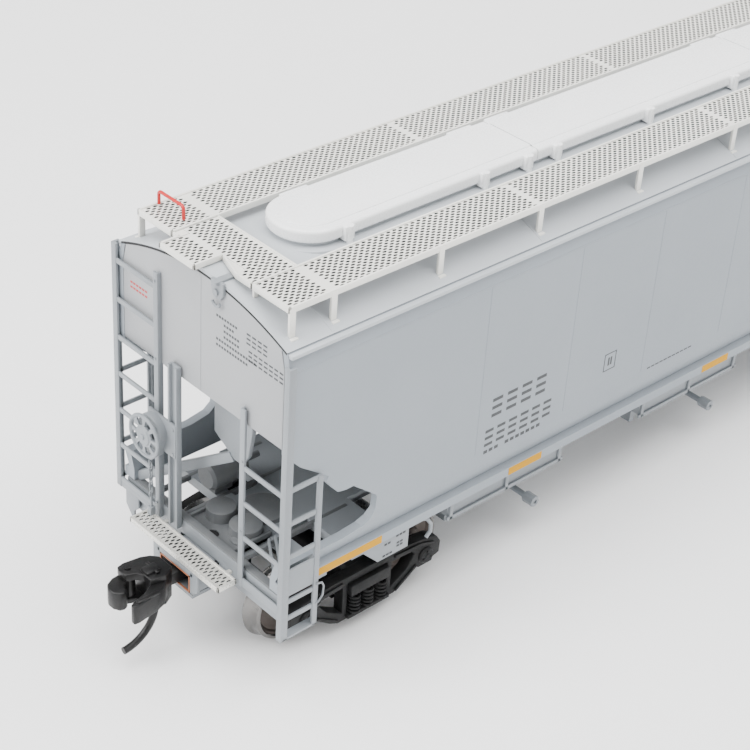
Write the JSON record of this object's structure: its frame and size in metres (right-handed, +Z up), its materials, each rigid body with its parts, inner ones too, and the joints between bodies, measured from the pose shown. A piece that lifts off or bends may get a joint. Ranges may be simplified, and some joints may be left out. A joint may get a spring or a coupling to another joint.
{
  "type": "model hopper car",
  "caption": "Model covered hopper wagon with curved sides, roof hatches, walkways, corner ladders, two swivelling trucks, sprung couplers and a hand brake wheel.",
  "frame": {"origin": "on the car's centre line, midway along it, at the height of the lowest point of the wheel flanges", "axes": "+X along the car away from the hand brake end, +Y to its left side seen from the brake end looking along +X, +Z up"},
  "size_m": [0.2268, 0.0344, 0.0573],
  "materials": {
    "grey_body": "satin light grey paint",
    "grey_roof": "satin light grey paint",
    "white_hatch": "gloss white moulding",
    "etched_walk": "etched metal, off-white",
    "red_grab": "red painted wire",
    "grey_plastic": "satin grey moulding",
    "black_plastic": "satin black moulding",
    "black_metal": "blackened metal",
    "wheel_metal": "turned metal",
    "steel": "plain steel",
    "bronze": "phosphor bronze"
  },
  "bodies": {
    "car_body": {"body_shell": "grey_body", "roof": "grey_roof", "hatch_cover_1": "white_hatch", "outlet_gate_1": "black_plastic", "gate_shaft_1": "grey_plastic", "hatch_cover_2": "white_hatch", "outlet_gate_2": "black_plastic", "gate_shaft_2": "grey_plastic", "hatch_cover_3": "white_hatch", "outlet_gate_3": "black_plastic", "gate_shaft_3": "grey_plastic", "hatch_cover_4": "white_hatch", "outlet_gate_4": "black_plastic", "gate_shaft_4": "grey_plastic", "running_board_left": "etched_walk", "running_board_right": "etched_walk", "crossover_b": "etched_walk", "crossover_a": "etched_walk", "brake_platform": "etched_walk", "roof_grab_b": "red_grab", "ladder_b_left": "grey_plastic", "ladder_b_right": "grey_plastic", "coupler_box_b": "grey_plastic", "coupler_lid_b": "grey_plastic", "coupler_spring_b": "bronze", "truck_screw_b": "steel", "roof_grab_a": "red_grab", "ladder_a_left": "grey_plastic", "ladder_a_right": "grey_plastic", "coupler_box_a": "grey_plastic", "coupler_lid_a": "grey_plastic", "coupler_spring_a": "bronze", "truck_screw_a": "steel", "brake_housing": "grey_plastic", "underframe": "grey_plastic", "brake_rod": "black_metal", "steel_weight": "steel", "air_reservoir": "black_plastic", "control_valve": "black_plastic", "brake_cylinder": "black_plastic"},
    "wheelset_1": {"axle_1": "steel", "wheel_1_left": "wheel_metal", "wheel_1_right": "wheel_metal"},
    "wheelset_2": {"axle_2": "steel", "wheel_2_left": "wheel_metal", "wheel_2_right": "wheel_metal"},
    "wheelset_3": {"axle_3": "steel", "wheel_3_left": "wheel_metal", "wheel_3_right": "wheel_metal"},
    "wheelset_4": {"axle_4": "steel", "wheel_4_left": "wheel_metal", "wheel_4_right": "wheel_metal"},
    "truck_b": {"truck_frame_b": "black_plastic"},
    "coupler_swing_b": {"coupler_b": "black_metal"},
    "knuckle_jaw_b": {"knuckle_b": "black_metal"},
    "truck_a": {"truck_frame_a": "black_plastic"},
    "coupler_swing_a": {"coupler_a": "black_metal"},
    "knuckle_jaw_a": {"knuckle_a": "black_metal"},
    "hand_brake_wheel": {"brake_wheel": "grey_plastic"}
  },
  "joints": [
    {"name": "truck_b_swivel", "type": "hinge", "parent": "car_body", "child": "truck_b", "pos_m": [-0.0825, 0, 0.0059], "axis": [0, 0, 1], "range_deg": [-11, 11]},
    {"name": "truck_a_swivel", "type": "hinge", "parent": "car_body", "child": "truck_a", "pos_m": [0.0825, 0, 0.0059], "axis": [0, 0, 1], "range_deg": [-11, 11]},
    {"name": "wheelset_1_spin", "type": "hinge", "parent": "truck_b", "child": "wheelset_1", "pos_m": [-0.093, 0, 0.0059], "axis": [0, 1, 0], "continuous": true},
    {"name": "wheelset_2_spin", "type": "hinge", "parent": "truck_b", "child": "wheelset_2", "pos_m": [-0.072, 0, 0.0059], "axis": [0, 1, 0], "continuous": true},
    {"name": "wheelset_3_spin", "type": "hinge", "parent": "truck_a", "child": "wheelset_3", "pos_m": [0.072, 0, 0.0059], "axis": [0, 1, 0], "continuous": true},
    {"name": "wheelset_4_spin", "type": "hinge", "parent": "truck_a", "child": "wheelset_4", "pos_m": [0.093, 0, 0.0059], "axis": [0, 1, 0], "continuous": true},
    {"name": "coupler_b_swing", "type": "hinge", "parent": "car_body", "child": "coupler_swing_b", "pos_m": [-0.097, 0, 0.01055], "axis": [0, 0, 1], "range_deg": [-13, 13], "stiffness_Nm_per_rad": 0.0005},
    {"name": "knuckle_b_open", "type": "hinge", "parent": "coupler_swing_b", "child": "knuckle_jaw_b", "pos_m": [-0.11, 0.0019, 0.01055], "axis": [0, 0, -1], "range_deg": [0, 20], "stiffness_Nm_per_rad": 0.00002},
    {"name": "coupler_a_swing", "type": "hinge", "parent": "car_body", "child": "coupler_swing_a", "pos_m": [0.097, 0, 0.01055], "axis": [0, 0, 1], "range_deg": [-13, 13], "stiffness_Nm_per_rad": 0.0005},
    {"name": "knuckle_a_open", "type": "hinge", "parent": "coupler_swing_a", "child": "knuckle_jaw_a", "pos_m": [0.11, -0.0019, 0.01055], "axis": [0, 0, -1], "range_deg": [0, 20], "stiffness_Nm_per_rad": 0.00002},
    {"name": "brake_wheel_turn", "type": "hinge", "parent": "car_body", "child": "hand_brake_wheel", "pos_m": [-0.1029, 0.0076, 0.02725], "axis": [1, 0, 0], "continuous": true}
  ]
}
